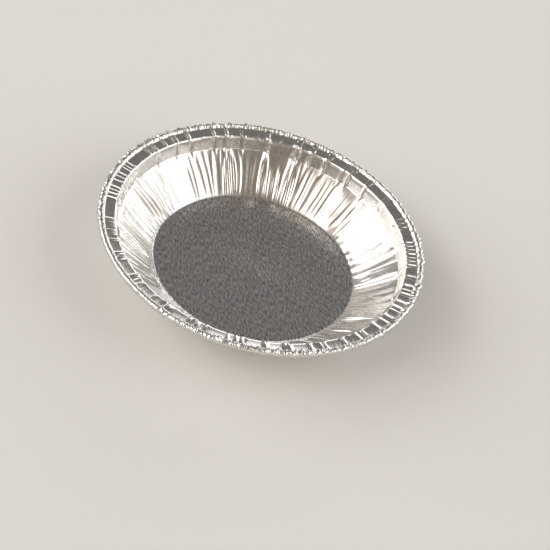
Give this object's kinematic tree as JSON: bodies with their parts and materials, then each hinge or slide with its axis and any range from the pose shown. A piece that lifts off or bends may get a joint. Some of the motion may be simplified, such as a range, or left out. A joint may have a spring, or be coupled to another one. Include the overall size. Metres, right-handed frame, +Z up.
{
  "type": "foil pie tin",
  "caption": "Shallow round pie tin pressed from thin foil, with a flat base, sloping pleated wall, plain shoulder band, flat lip and a hollow rolled edge",
  "frame": {"origin": "centre of the underside of the base, on the table", "axes": "+Z up through the open top; the tin is round, and the camera of the picture looks from -Y"},
  "size_m": [0.127, 0.127, 0.0206],
  "materials": {
    "foil": "bright rolled foil with fine rolling lines"
  },
  "bodies": {
    "root": {"pie_tin": "foil"}
  },
  "joints": []
}
